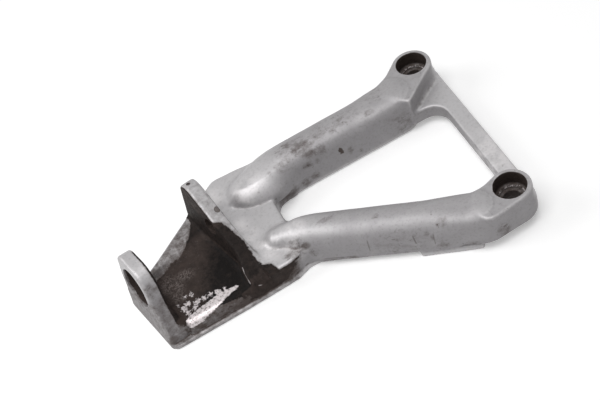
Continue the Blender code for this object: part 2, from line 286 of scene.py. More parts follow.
def castingDistance(x, y, z):
    # signed distance of the raw casting, before machining
    edge = casting["edge"]
    box = onlyNear(x, y, z, (-40, -35, -9), (76, 58, 24), lambda x, y, z: slab(
        outlineDistance(x, y, outlines["base"]), z, 0.0, casting["deckZ"], edge * 1.4))
    # clevis end follows the outer face of the end ear
    endFace = -earLocal(x, y, z, ears["end"])[2]
    box = carve(box, -endFace, 1.6)

    def nearCorner(x, y, z):
        # the base's near corner follows the slope of the end ear
        a, b, c = earLocal(x, y, z, ears["end"])
        return np.maximum(-outlineDistance(a, b, outlines["end"]), c - ears["end"]["thick"] - 3.2)

    box = carve(box, onlyNear(x, y, z, (-40, -36, -4), (0, -8, 20), nearCorner), 1.4)

    def pocket(x, y, z):
        # flat floor, a long slope up to the far ridge, and an edge that rolls over on the near side
        start, slant = casting["floorLine"]
        climb = y - start - slant * (x + 6)
        ridge = -outlineDistance(x, y, outlines["base"]) - casting["ridgeInset"]
        t = np.clip(climb, 0, 99) / np.maximum(np.clip(climb, 0, 99) + np.maximum(ridge, 0), 0.5)
        wallRise = casting["deckZ"] + 0.3 - casting["pocketZ"]
        high = casting["pocketZ"] + wallRise * (0.35 * t + 0.65 * ease(t))
        start, slant = casting["browLine"]
        roll = np.clip(start + slant * (x + 24) - y, 0, casting["browRadius"] * 0.985)
        high = high - casting["browRadius"] + np.sqrt(casting["browRadius"] ** 2 - roll * roll)
        steep = 1 + 2.2 * (roll / casting["browRadius"]) ** 3
        return np.maximum((high - z) * 0.96 / steep, outlineDistance(x, y, outlines["pocket"]))

    box = carve(box, onlyNear(x, y, z, (-40, -40, -2), (50, 40, 30), pocket), 1.2)

    def endShape(x, y, z):
        # ring round the eye, standing a little above the sloping web below it
        a, b, c = earLocal(x, y, z, ears["end"])
        foot = ears["end"]["flare"] * ease((-b - 2) / 12)
        web = slab(outlineDistance(a, b, outlines["end"]), c, 0.0, ears["end"]["thick"] + foot, 1.1)
        collar = slab(np.hypot(a, b) - ears["collar"], c, 0.0, ears["end"]["thick"], 1.3)
        return blend(web, collar, 0.7)

    def innerShape(x, y, z):
        a, b, c = earLocal(x, y, z, ears["inner"])
        foot = ears["inner"]["flare"] * ease((-a - 3) / 13)
        return slab(outlineDistance(a, b, outlines["inner"]), c, -foot, ears["inner"]["thick"], 1.1)

    endEar = onlyNear(x, y, z, (-40, -36, -9), (8, 26, 46), endShape)
    innerEar = onlyNear(x, y, z, (-2, -36, -9), (50, 46, 46), innerShape)
    farArm = onlyNear(x, y, z, (26, 8, -9), (150, 60, 34), lambda x, y,
                      z: armDistance(x, y, z, arms["far"], paths["far"]))
    nearArm = onlyNear(x, y, z, (30, -75, -9), (150, 12, 34), lambda x, y,
                       z: armDistance(x, y, z, arms["near"], paths["near"]))

    def pad(side):
        # flat pad with a shallow hollow where the arm's round end meets it, on a wall shared with the arm
        end = paths[side][-1]
        reach = arms[side]["radius"][-1][1] - 1.6

        def make(x, y, z):
            flat = slab(outlineDistance(x, y, outlines[side + "Pad"]), z, bosses["padLow"],
                        casting["faceZ"], edge)
            away = np.hypot(x - end[0], y - end[1]) - reach
            dip = bosses["archDip"] * np.exp(-(away / 2.4) ** 2)
            flat = np.maximum(flat, (z - casting["faceZ"] + dip) * 0.9)
            wall = slab(outlineDistance(x, y, outlines[side + "Shoulder"]), z, bosses["padLow"],
                        bosses["shoulderTop"], edge)
            return blend(flat, wall, 3.2)
        return make

    farPad = onlyNear(x, y, z, (110, 16, -3), (165, 68, 30), pad("far"))
    nearPad = onlyNear(x, y, z, (110, -69, -3), (165, -28, 30), pad("near"))
    strap = onlyNear(x, y, z, (122, -56, -5), (166, 54, 21), lambda x, y, z: slab(
        outlineDistance(x, y, outlines["strap"]), z, bosses["strapLow"], bosses["strapTop"], 0.9))
    lip = onlyNear(x, y, z, (-28, -36, -9), (76, -4, 12), lambda x, y, z: slab(
        outlineDistance(x, y, outlines["lip"]), z, 0.0, 2.2, 0.5))
    backPad = onlyNear(x, y, z, (90, -66, -9), (137, -27, 12), lambda x, y, z: slab(
        outlineDistance(x, y, outlines["backPad"]), z, 0.0, 3.4, 0.4))

    def flareShape(x, y, z):
        # slope between the far arm's nose and the web, with a crisp foot
        # it stands out a little over the opening
        flat = outlineDistance(x, y, outlines["flare"])
        rise = casting["flareRise"]
        top = casting["deckZ"] + rise * (1 - np.exp(flat * casting["flareSlope"] / rise))
        wall = carve(flat, (z - casting["flareLow"]) * 0.8, 3.0)
        return carve(wall, -(z - top) * 0.75, 1.5)

    # the ears stand on the base, the arms grow out of the web
    flare = onlyNear(x, y, z, (24, 6, 2), (76, 44, 26), flareShape)
    # the end ear is filleted on its pocket side only, its outer face is flush with the base
    inward = ease((x + 19 + 0.24 * y - 0.15 * (z - 21)) / 5).astype(np.float32)
    body = blend(box, endEar, 0.6 + 2.6 * inward)
    body = blend(body, innerEar, 2.4)
    barFar = blend(blend(farArm, flare, 5.0), farPad, 3.4)
    barNear = blend(nearArm, nearPad, 3.4)
    crisp = ease((x - 32) / 4) * ease((28 - y + (x - 37) * 0.2) / 5) * ease((66 - x) / 5)
    body = blend(body, barFar, casting["webBlend"] - (casting["webBlend"] - 0.9) * crisp.astype(np.float32))
    # the near arm meets the web with a crisp crease on its near side only
    spine = np.interp(x, paths["near"][:, 0], paths["near"][:, 1])
    body = blend(body, barNear, 1.3 + (casting["webBlend"] - 1.3)
                 * ease((y - spine + 5) / 7).astype(np.float32))
    body = blend(body, strap, 1.8)
    body = blend(body, lip, 0.8)
    body = blend(body, backPad, 0.8)
    # faint unevenness of a cast surface
    swell = np.sin(x * 0.51 + 1.3 * np.sin(y * 0.33)) * np.sin(y * 0.43 + 0.8) + np.sin(z * 0.7 + x * 0.31)
    return np.maximum(body + 0.022 * swell, -z)


def sampleField(cell):
    # narrow band of the field on a grid, found from a coarse grid first
    low = np.array((-33.0, -63.5, -2.4))
    count = np.ceil((np.array((159.0, 61.0, 39.5)) - low) / cell).astype(int) + 1
    count = (count // 4 + 1) * 4 + 1
    axes = [low[a] + cell * np.arange(count[a]) for a in range(3)]
    coarse = [axis[::4] for axis in axes]
    gx, gy, gz = np.meshgrid(*coarse, indexing="ij")
    rough = castingDistance(*(g.ravel().astype(np.float32) for g in (gx, gy, gz))).reshape(gx.shape)
    full = rough
    for a in range(3):
        there = np.arange(count[a]) / 4
        i = np.minimum(there.astype(int), full.shape[a] - 2)
        f = there - i
        shape = [1, 1, 1]
        shape[a] = -1
        f = f.reshape(shape)
        full = np.take(full, i, axis=a) * (1 - f) + np.take(full, i + 1, axis=a) * f
    band = np.abs(full) < cell * 4.4
    i, j, k = np.nonzero(band)
    full[band] = castingDistance(*(axes[a][n].astype(np.float32) for a, n in enumerate((i, j, k))))
    print("field points", band.sum(), "of", band.size)
    return full, low


def surfaceNets(field, low, cell):
    # one vertex in each cell that the surface crosses, one quad across each crossed grid edge
    inside = field < 0
    corner = [inside[a:inside.shape[0] - 1 + a, b:inside.shape[1] - 1 + b, c:inside.shape[2] - 1 + c]
              for a in (0, 1) for b in (0, 1) for c in (0, 1)]
    total = sum(c.astype(np.int8) for c in corner)
    crossed = (total > 0) & (total < 8)
    index = np.full(crossed.shape, -1, np.int64)
    cells = np.argwhere(crossed)
    index[crossed] = np.arange(len(cells))
    sums = np.zeros((len(cells), 3))
    hits = np.zeros(len(cells))
    value = {(a, b, c): field[cells[:, 0] + a, cells[:, 1] + b, cells[:, 2] + c]
             for a in (0, 1) for b in (0, 1) for c in (0, 1)}
    for axis in range(3):
        for a in (0, 1):
            for b in (0, 1):
                start = [a, b]
                start.insert(axis, 0)
                end = list(start)
                end[axis] = 1
                u, v = value[tuple(start)], value[tuple(end)]
                cut = (u < 0) != (v < 0)
                t = np.where(cut, u / np.where(cut, u - v, 1), 0)
                spot = np.array(start, float)[None, :].repeat(len(cells), 0)
                spot[:, axis] = t
                sums += spot * cut[:, None]
                hits += cut
    points = low + cell * (cells + sums / hits[:, None])
    quads = []
    for axis in range(3):
        u, v = [a for a in range(3) if a != axis]
        here = [slice(1, -1)] * 3
        here[axis] = slice(0, -1)
        there = [slice(1, -1)] * 3
        there[axis] = slice(1, None)
        first, second = inside[tuple(here)], inside[tuple(there)]
        for flip, mask in ((False, first & ~second), (True, ~first & second)):
            at = np.argwhere(mask)
            offset = np.ones(3, int)
            offset[axis] = 0
            at = at + offset
            ring = []
            for du, dv in ((0, 0), (-1, 0), (-1, -1), (0, -1)):
                spot = at.copy()
                spot[:, u] += du
                spot[:, v] += dv
                ring.append(index[spot[:, 0], spot[:, 1], spot[:, 2]])
            quad = np.stack(ring, 1)
            if flip != (axis == 1):
                quad = quad[:, ::-1]
            quads.append(quad)
    return points, np.concatenate(quads)


def settle(points, rounds=2, reach=0.45):
    # moves the vertices onto the true surface
    h = 0.12
    corners = np.array(((1, -1, -1), (-1, -1, 1), (-1, 1, -1), (1, 1, 1)), float)
    for _ in range(rounds):
        slope = np.zeros_like(points)
        middle = np.zeros(len(points))
        for c in corners:
            d = castingDistance(*(points + c * h).astype(np.float32).T)
            slope += c[None, :] * d[:, None]
            middle += d / 4
        slope /= 4 * h
        size = np.maximum(np.linalg.norm(slope, axis=1), 0.3)
        step = np.clip(middle / size, -reach, reach)
        points = points - slope / size[:, None] * step[:, None]
    return points


def wholeMesh(name, points, quads):
    mesh = bpy.data.meshes.new(name)
    mesh.from_pydata((points * 0.001).tolist(), [], quads.tolist())
    mesh.validate()
    mesh.update()
    return mesh


field, low = sampleField(casting["cell"])
points, quads = surfaceNets(field, low, casting["cell"])
print("surface", len(points), "points", len(quads), "quads")
points = settle(points)
insetBox = np.array(cadBox) * 1000 + np.array(((0.01,), (-0.01,)))
points = np.clip(points, insetBox[0], insetBox[1])
mesh = wholeMesh("hangerSkin", points, quads)
hanger = bpy.data.objects.new("hangerSkin", mesh)
bpy.context.scene.collection.objects.link(hanger)
print("casting formed")


# machined holes

def turned(profile, place, sides=72):
    # closed body turned round the Z axis of place, from (radius, height) pairs
    rings = [profile[0]]
    for (r0, z0), (r1, z1) in zip(profile[:-1], profile[1:]):
        parts = max(1, round(math.hypot(r1 - r0, z1 - z0) / 1.1))
        rings += [(r0 + (r1 - r0) * k / parts, z0 + (z1 - z0) * k / parts) for k in range(1, parts + 1)]
    verts, faces = [], []
    for r, z in rings:
        for k in range(sides):
            a = math.tau * k / sides
            verts.append(place @ Vector((r * math.cos(a), r * math.sin(a), z)))
    for j in range(len(rings) - 1):
        for k in range(sides):
            n = (k + 1) % sides
            faces.append((j * sides + k, j * sides + n, (j + 1) * sides + n, (j + 1) * sides + k))
    faces.append(tuple(range(sides))[::-1])
    faces.append(tuple((len(rings) - 1) * sides + k for k in range(sides)))
    return verts, faces


def machine(target):
    cutterVerts, cutterFaces = [], []

    def add(profile, place):
        verts, faces = turned(profile, place)
        start = len(cutterVerts)
        cutterVerts.extend([v * 0.001 for v in verts])
        cutterFaces.extend([tuple(start + i for i in face) for face in faces])

    top, deep = casting["faceZ"], bosses["counterboreDeep"]
    floor = top - deep
    for side in (-1, 1):
        place = Matrix.Translation((bosses["x"], side * bosses["y"], 0))
        wide, seat, bolt = bosses["counterbore"], bosses["seat"], bosses["bolt"]
        add([(bolt, -2), (bolt, floor - 0.9), (bolt + 0.25, floor - bosses["seatDeep"]),
             (seat - 0.5, floor - bosses["seatDeep"]), (seat - 0.5, floor - 0.35), (seat, floor - 0.35),
             (seat + 0.2, floor), (wide - 0.5, floor), (wide, floor + 0.5),
             (wide, top - 0.3), (wide + 0.3, top), (wide + 0.3, top + 6)], place)
    axis = Vector(ears["pinAxis"]).normalized()
    turn = axis.to_track_quat("Z", "Y").to_matrix().to_4x4()
    eye = earAxes(ears["end"])[3]
    add([(ears["eyeRadius"], -4), (ears["eyeRadius"], ears["end"]["thick"] + 4)],
        Matrix.Translation(eye) @ turn)
    pin = eye + Vector(ears["pinAxis"]) * ((ears["inner"]["offset"] - ears["end"]["offset"]) * 0.91)
    add([(ears["pinRadius"], -4), (ears["pinRadius"], ears["inner"]["thick"] + 3.6)],
        Matrix.Translation(pin) @ turn)
    across, up, through, origin = earAxes(ears["inner"])
    for spot, (sideways, rise), radius in ears["marks"]:
        normal = across * sideways + up * rise
        add([(radius, -0.22), (radius + 0.08, 1.6)],
            Matrix.Translation(spot) @ normal.to_track_quat("Z", "Y").to_matrix().to_4x4())
    cutterMesh = bpy.data.meshes.new("cutter")
    cutterMesh.from_pydata(cutterVerts, [], cutterFaces)
    cutter = bpy.data.objects.new("cutter", cutterMesh)
    bpy.context.scene.collection.objects.link(cutter)
    work = target.modifiers.new("machining", "BOOLEAN")
    work.operation = "DIFFERENCE"
    work.solver = "EXACT"
    work.object = cutter
    bpy.context.view_layer.update()
    done = bpy.data.meshes.new_from_object(target.evaluated_get(bpy.context.evaluated_depsgraph_get()))
    target.modifiers.clear()
    target.data = done
    bpy.data.objects.remove(cutter)
    print("machined", len(done.polygons), "faces")


machine(hanger)
hanger.data.polygons.foreach_set("use_smooth", [True] * len(hanger.data.polygons))
hanger.data.set_sharp_from_angle(angle=math.radians(48))


# grime, wear, painted shade and painted highlights, worked out for each point of the mesh

stains = {
    "slopeClean": (
        (-14, 8.6), (-9.9, 10.0), (-2.3, 13.9), (2.7, 15.1), (5.4, 17.4), (9.7, 21.7), (13.2, 27.6),
        (16, 34),
    ),
    "bandGrease": (
        (-24, 9.5), (-18.6, 8.5), (-16.4, 5.6), (-12, 5.4), (-6, 6.1), (-2, 6.3), (1.5, 5.7), (6.5, 4.6),
        (9.6, 3.4), (11.6, 0.4), (12.6, -2.5), (40, -6),
    ),
    # bright streak along the near edge of the pocket floor: worn paint with a painted highlight
    "wornHighlightEdge": ((-6.2, -21.6), (-0.5, -20.4), (4.8, -19.2), (10.1, -17.8), (14.8, -16.9), (19.4, -16.5)),
    "wornHighlightWidth": (4.4, 5.4, 5.4, 4.8, 3.4, 1.6),
    "wornBlots": (
        (-4.0, -12.0, 2.0), (-3.6, -7.8, 1.5), (-0.6, -8.2, 1.8), (0.4, -13.5, 2.4), (-6.4, -13.6, 2.2),
        (7.2, -13.3, 2.0), (10.6, -14.1, 2.2), (3.6, -13.4, 1.7), (-5.3, -17.4, 2.2), (-1.5, -16.0, 1.8),
        (14.2, -14.2, 1.4), (-8.2, -10.4, 1.3),
    ),
    "browLine": (
        (-16, -21), (-7.6, -22.8), (0.3, -24.2), (10.3, -23.4), (17.8, -22.9), (24.3, -21.9),
        (31.4, -19.8), (60, -17),
    ),
    "paleFloor": ((-7.8, 3.2, 5.0, 7.0), (-4.4, 0.5, 4.0, 5.0), (-6.5, -5.5, 4.0, 5.0), (0, 4, 6, 4)),
    # lighter spots, painted highlights: the noses, the end ear's top, the strap, the far lobe and the deck
    # beside the inner ear
    "rubbedAndHighlit": (
        ((-13.9, -0.3, 34.0), 5), ((42.0, 25.5, 18), 8), ((47, 27, 20), 8), ((45.5, -8, 17), 7),
        ((54, -10, 20), 7), ((50, -15.5, 13), 7), ((151.5, -20, 11.5), 20), ((29, 37, 13), 7),
        ((33.6, 12, 14), 6), ((35.6, 4, 14), 6), ((37.6, -4, 13.6), 6), ((40.5, -11, 13), 6),
    ),
    # place, reach, strength of each smear
    "smears": (
        ((76.5, 31.7, 21.2), (6, 3, 2), 0.62), ((71.5, 36.8, 21.9), (5, 2.2, 1.5), 0.42),
        ((84.4, 27.4, 17.8), (3.4, 2, 3), 0.5), ((79.3, 27.7, 18.3), (4, 1.6, 2.6), 0.62),
        ((80.8, 25.6, 12.8), (1.4, 1, 3), 0.45), ((75.9, 25.7, 14.4), (2.6, 1, 1.8), 0.55),
        ((57.7, 27.4, 18.4), (1.9, 1.3, 1.5), 0.85), ((50.9, 24.8, 17.5), (1.8, 1.1, 1), 0.75),
        ((48.9, 22.5, 16.2), (1.2, 0.9, 0.8), 0.8), ((97.8, 25.9, 9.7), (1.6, 1, 2.4), 0.42),
        ((103, 26, 5.9), (1.0, 1, 2.2), 0.4), ((113.5, 31.1, 21.2), (2.4, 1.8, 1), 0.5),
        ((93.9, 31.4, 21.1), (2.0, 1.6, 1), 0.42), ((62.2, 23.3, 4.1), (5, 2, 4), 0.75),
        ((57.8, 22.1, 4.7), (3.4, 2, 4), 0.7), ((71.5, 25.3, 4.8), (3.6, 1, 3), 0.65),
        ((77.4, 25.4, 6.0), (2.6, 1, 2.4), 0.6), ((127.8, 25.9, 8.8), (5, 1.5, 7), 0.4),
        ((124, 26.6, 13.8), (4, 2, 4), 0.34), ((88, 33, 21.8), (5, 3, 1.5), 0.4),
        ((101, 34, 22), (7, 4, 1.5), 0.36), ((64.3, -11.1, 19.9), (1.8, 1.1, 1), 0.5),
        ((68.2, -15.8, 20.9), (4, 1.5, 1), 0.45), ((88, -27.9, 21.3), (1.7, 1.3, 1), 0.42),
        ((90.7, -38.9, 13.6), (1.8, 1.1, 1.6), 0.45), ((103.5, -45.5, 15.3), (1.8, 1.1, 1.5), 0.48),
        ((105.3, -46.9, 12.8), (0.9, 0.9, 2.2), 0.42), ((54.4, -18.6, 14.6), (5, 1.3, 1.6), 0.85),
        ((57, -20.6, 10.3), (3.6, 1.2, 2.4), 0.5), ((48.0, -18.2, 13.0), (4, 1.6, 1), 0.6),
        ((70.7, -28.2, 4.2), (6, 3, 1.2), 0.5), ((112, -46.4, 19), (5, 3, 2), 0.4),
        ((118, -56, 6), (5, 3, 2.6), 0.45), ((108, -50, 7), (3, 3, 3), 0.5),
        ((94, 36, 22), (14, 7, 2), 0.3), ((73, 33, 21), (9, 6, 3), 0.4), ((92, -40, 10), (22, 8, 9), 0.3),
        ((50, -17, 13.2), (5, 2.4, 1), 0.6), ((64, 28, 19), (4, 3, 3), 0.4),
        ((121, 40, 21), (8, 6, 2), 0.34), ((134, -60, 10), (3, 2, 5), 0.5),
        ((-17.0, -23.0, 5), (2.4, 2, 2), 0.75), ((51.5, -15.6, 15), (7, 2.4, 3), 0.5),
        ((-14.6, -11.3, 28.0), (3, 3, 4), 0.55), ((-25.4, 0.5, 14.0), (4, 4, 4), 0.5),
        ((64, -24.0, 3.4), (6, 3, 0.9), 0.8), ((75.7, -29.2, 3.4), (7, 3, 0.9), 0.75),
        ((71, 36.5, 20.6), (3, 2.2, 2), 0.6), ((-26, -8, 14), (3, 5, 5), 0.5),
    ),
}


def polyline(px, py, points, widths=None):
    # distance to a line drawn on the plan, and its width beside each point
    best = np.full(px.shape, 1e9)
    wide = np.zeros(px.shape)
    widths = widths or [1.0] * len(points)
    for (a, b, wa, wb) in zip(points[:-1], points[1:], widths[:-1], widths[1:]):
        ex, ey = b[0] - a[0], b[1] - a[1]
        t = np.clip(((px - a[0]) * ex + (py - a[1]) * ey) / (ex * ex + ey * ey), 0, 1)
        d = np.hypot(px - a[0] - ex * t, py - a[1] - ey * t)
        wide = np.where(d < best, wa + (wb - wa) * t, wide)
        best = np.minimum(best, d)
    return best, wide


def readSurface(mesh):
    spots = np.empty(len(mesh.vertices) * 3, np.float32)
    mesh.vertices.foreach_get("co", spots)
    facing = np.empty_like(spots)
    mesh.vertices.foreach_get("normal", facing)
    edges = np.empty(len(mesh.edges) * 2, np.int32)
    mesh.edges.foreach_get("vertices", edges)
    return spots.reshape(-1, 3).astype(float) * 1000, facing.reshape(-1, 3).astype(float), edges.reshape(-1,
        2)


def curvature(spots, facing, edges, rounds=3):
    # positive on outer edges, negative in corners, in 1/mm
    i, j = edges[:, 0], edges[:, 1]
    d = spots[j] - spots[i]
    size = np.maximum((d * d).sum(1), 0.02)
    total = len(spots)
    bend = np.bincount(i, -(d * facing[i]).sum(1) / size, total) + np.bincount(j,
        (d * facing[j]).sum(1) / size, total)
    count = np.maximum(np.bincount(i, minlength=total) + np.bincount(j, minlength=total), 1)
    bend /= count
    for _ in range(rounds):
        bend = 0.4 * bend + 0.6 * (np.bincount(i, bend[j], total) + np.bincount(j, bend[i], total)) / count
    return bend


def paintMasks(mesh):
    spots, facing, edges = readSurface(mesh)
    x, y, z = spots.T
    bend = curvature(spots, facing, edges)
    endA, endB, endC = earLocal(x, y, z, ears["end"])
    inA, _, inC = earLocal(x, y, z, ears["inner"])
    endThick, inThick = ears["end"]["thick"], ears["inner"]["thick"]

    # grease in the pocket, held back from the top of the far slope
    gap = ease((endC - endThick + 1.5) / 1.1) * ease((0.5 - inC) / 0.5) * ease((z - 2.0) / 1.2)
    slope = np.interp(x, *np.array(stains["slopeClean"]).T)
    brow = casting["browLine"][0] + casting["browLine"][1] * (x + 24)
    inside = (gap * np.clip(0.5 + (slope - y) / 3.4, 0, 1)
              * np.clip(0.5 + (y - brow + 1.2 + 0.13 * np.maximum(x, 0)) / 3.0, 0, 1))
    inside = np.maximum(inside, gap * ease((1.0 - inC) / 1.0) * (inC > -1.0) * (z > 12))
    # lower part of the inner ear's edge, and its near end
    band = ease((inC + 0.9) / 0.6) * ease((inThick + 2.6 - inC) / 1.2) * ease((z - 9.4) / 1.4) * (x < 40)
    dirtyTo = np.interp(inA, *np.array(stains["bandGrease"]).T)
    onBand = band * np.clip(0.5 + (dirtyTo - inC) / 2.8, 0, 1)
    # root of the near side, fading towards the arm
    side = ease((-facing[:, 1] - 0.25) / 0.4) * (y < -14) * ease((z - 2.4) / 1.2) * ease((12.6 - z) / 0.9)
    root = side * np.clip(0.5 + (40.5 + (z - 2) * 1.0 - x) / 10, 0, 1) * np.clip(0.5 + (x - 22) / 12, 0, 1)
    # the eye and the pin hole are coloured dark inside, the eye from half a millimetre below its outer
    # face; the counterbore walls are dark too, partly grease and partly painted shade in the recess
    eye = np.hypot(endA, endB)
    hole = ((eye < ears["eyeRadius"] + 0.9) * ease((endC - 0.5) / 0.8)
            * ease((endThick + 0.2 - endC) / 0.6) * 0.92)
    pin = Vector(ears["pinAxis"]).normalized()
    centre = earAxes(ears["end"])[3]
    away = spots - np.array(centre)
    off = np.linalg.norm(away - np.outer(away @ np.array(pin), np.array(pin)), axis=1)
    pinHole = ((off < ears["pinRadius"] + 0.25) & (x > 12) & (inC < inThick + 0.3)) * 1.0
    bore, boreGreaseAndShade = np.zeros(len(x)), np.zeros(len(x))
    seatRing = np.zeros(len(x))
    floorZ = casting["faceZ"] - bosses["counterboreDeep"]
    for sign in (-1, 1):
        r = np.hypot(x - bosses["x"], y - sign * bosses["y"])
        inBore = (r < bosses["counterbore"] + 0.15) * ease((casting["faceZ"] - 0.02 - z) / 0.26)
        bore = np.maximum(bore, inBore * (z > floorZ + 0.6) * 0.8)
        boreGreaseAndShade = np.maximum(boreGreaseAndShade, inBore)
        low = (r < bosses["seat"] + 0.9) & (z < floorZ + 0.3)
        seatRing = np.maximum(seatRing, low * (0.35 + 0.65 * np.exp(-((r - bosses["seat"]) / 0.4) ** 2)))
    grease = np.maximum.reduce([inside, onBand, root, hole, pinHole, bore])

    # how black the grease is: blackest next to and under the inner ear, partly painted shadow of the ear,
    # browner out on the floor
    deep = (np.clip(0.25 + 0.75 * ease((x - 0.45 * y - 4) / 14), 0, 1) * ease((11.5 - z) / 1.5)
            + ease((z - 10.5) / 1.5) * 0.75)
    deep = np.where(bore + pinHole + hole > 0.3, 0.3, deep)
    deep = np.where(seatRing > 0.2, 0.0, deep)
    deep = np.where(root > 0.3, 0.4, deep)
    deep = np.where((x > 12) & (z > 24), 0.45, deep)

    # bare metal: the worn edge of the pocket floor, painted brighter as a highlight, blots beside it, seat
    # rings
    far, wide = polyline(x, y, stains["wornHighlightEdge"], stains["wornHighlightWidth"])
    bareAndHighlit = np.clip(0.5 + (wide / 2 - far) / 1.6, 0, 1) * (z < 10.5) * (z > 6.5)
    for bx, by, r in stains["wornBlots"]:
        bareAndHighlit = np.maximum(bareAndHighlit, 0.66 * np.clip(0.5 + (r - np.hypot(x - bx, y - by)) / 3.0, 0, 1)
                          * (z < 10.5) * (z > 6))
    pale = np.zeros(len(x))
    for bx, by, rx, ry in stains["paleFloor"]:
        pale = np.maximum(pale, ease(1.25 - np.hypot((x - bx) / rx, (y - by) / ry)) * (z < 10.3) * (z > 6))

    # thin dirt film on the near wall of the base and the far slope; painted shade in concave corners and on
    # undersides
    filmAndShade = (0.86 * ease((brow + 1.5 - y) / 3.0) * ease((z - 2.0) / 0.8) * ease((x + 12) / 6)
            * ease((54 - x) / 9) * ease((12.4 - z) / 0.8) * (0.82 + 0.18 * ease(x / 24)))
    filmAndShade = np.maximum(filmAndShade, boreGreaseAndShade * 0.92)
    lowLine = np.interp(x, *np.array(stains["browLine"]).T)
    filmAndShade = np.maximum(filmAndShade, 0.97 * np.exp(-((y - lowLine) / 0.9) ** 2) * ease((x + 13) / 4)
                      * ease((50 - x) / 5) * (z < 12.4) * (z > 3.4))
    filmAndShade = np.maximum(filmAndShade, 0.55 * (y < -18.5) * ease((2.9 - z) / 0.6) * ease((x + 22) / 8)
                      * ease((58 - x) / 14))
    filmAndShade = np.maximum(filmAndShade, (y < -18.5) * np.exp(-((z - 2.6) / 0.55) ** 2) * ease((x + 19) / 3)
                      * ease((50 - x) / 8))
    outward = ease((facing[:, 1] - 0.05) / 0.4)      # the outer back wall is cleaner
    filmAndShade = np.maximum(filmAndShade, 0.66 * ease((20 - x) / (4 + 12 * outward)) * ease((y - 6) / 4)
                      * ease((15.5 - z) / 1.5) * (x > -18) * (1 - 0.62 * outward))
    # painted shade: concave corners and downward-facing surfaces are darker
    filmAndShade = np.maximum(filmAndShade, 0.55 * ease((-bend - 0.03) / 0.14))
    filmAndShade = np.maximum(filmAndShade, 0.22 * ease(-facing[:, 2] * 2))
    filmAndShade = np.maximum(filmAndShade, 0.55 * (endC > -1) * ease((endThick + 3.6 - endC) / 1.5) * ease((27 - z) / 6)
                      * (x < -6))
    filmAndShade = np.maximum(filmAndShade, 0.36 * ((inC > -0.5) & (inC < inThick + 0.6) & (z > 20)))
    # the arms are duller than the web, pads and strap; the noses carry painted highlights
    onArm = np.zeros(len(x))
    for name in ("far", "near"):
        onArm = np.maximum(onArm, ease((1.6 - armDistance(x, y, z, arms[name], paths[name])) / 1.4))
    pads = np.zeros(len(x))
    for sidePad in ("farPad", "nearPad"):
        onPad = ease((0.5 - outlineDistance(x, y, outlines[sidePad])) / 1.5)
        pads = np.maximum(pads, onPad * (z > 20.1) * (z < 21.15))
    dullAndShaded = onArm * ease((x - 50) / 26) * ease((z - 1.0) / 2) * (1 - pads) * 0.72
    # painted shade: walls that face the near side are darker
    dullAndShaded = np.maximum(dullAndShaded, ease((-facing[:, 1] - 0.3) / 0.5) * ease((z - 1.5) / 2))
    dullAndShaded = np.maximum(dullAndShaded, 0.5 * (x < -8) * ease((26 - z) / 5))
    dullAndShaded = np.maximum(dullAndShaded, pads * 0.8)
    # painted shade: low walls facing the clevis under the boss ends are darker
    dullAndShaded = np.maximum(dullAndShaded, (x > 131) * (z < 11) * ease((-facing[:, 0] - 0.3) / 0.4))
    smear = np.zeros(len(x))
    for (cx, cy, cz), (rx, ry, rz), strength in stains["smears"]:
        d = np.sqrt(((x - cx) / rx) ** 2 + ((y - cy) / ry) ** 2 + ((z - cz) / rz) ** 2)
        smear = np.maximum(smear, strength * ease(1.3 - d * 0.66))
    # convex edges and the listed spots are lighter: edge wear, with painted highlights at the spots
    edgeAndHighlight = ease((bend - 0.07) / 0.16) * 0.6
    for (cx, cy, cz), reach in stains["rubbedAndHighlit"]:
        d = np.sqrt((x - cx) ** 2 + (y - cy) ** 2 + (z - cz) ** 2)
        edgeAndHighlight = np.maximum(edgeAndHighlight, ease(1.25 - d / reach))
    layers = {"grease": grease, "greaseBlackAndShadow": deep, "bareMetalAndHighlight": np.maximum(bareAndHighlit, seatRing * 0.5),
              "paleFloor": pale, "dirtFilmAndShade": filmAndShade, "dullPaintAndShade": dullAndShaded, "smear": smear, "rubbedEdgeAndHighlight": edgeAndHighlight}
    for name, values in layers.items():
        layer = mesh.attributes.new(name, "FLOAT", "POINT")
        layer.data.foreach_set("value", np.clip(values, 0, 1).astype(np.float32))
    print("grime laid on", len(x), "points")


paintMasks(hanger.data)

# silver paint over the casting

finish = {
    "silver": (0.48, 0.469, 0.476), "dullShadedSilver": (0.315, 0.305, 0.312), "bareAndHighlit": (0.66, 0.64, 0.645),
    "smudge": (0.112, 0.094, 0.088), "scraped": (0.20, 0.18, 0.172), "paleDirt": (0.20, 0.168, 0.158),
    "wornAndHighlit": (0.66, 0.61, 0.615), "dirt": (0.088, 0.071, 0.065),
    "brownGrease": (0.056, 0.0415, 0.0365), "blackGrease": (0.0065, 0.0053, 0.0050),
    "metallic": 0.5, "roughness": 0.42, "grainDepth": 0.085, "specular": 0.1,
    # dark lines from start to end, mm: width, strength
    "scratches": (
        ((60.5, -23.0, 5.2), (97.5, -43.6, 4.3), 0.35, 0.75),
        ((79.9, -33.1, 18.0), (79.7, -33.0, 8.0), 0.32, 0.4),
        ((97.6, -42.8, 17.5), (98.4, -43.2, 10.0), 0.35, 0.5),
        ((106, -47.2, 20.0), (105.6, -47.4, 8.0), 0.3, 0.35),
        ((93.3, 25.7, 13.8), (93.6, 25.7, 11.0), 0.85, 1.0)),
    # bright lines painted along edges as highlights
    "brightHighlightLines": (((25.4, -12.6, 14.6), (25.4, -19.4, 10.4), 0.32, 0.9),
                        ((28.4, -21.6, 9.0), (33.5, -22.4, 7.0), 0.2, 0.5)),
    "castMarks": (((28.2, 14.8, 28.0), 1.75), ((21.3, 30.9, 34.0), 1.0)),
}


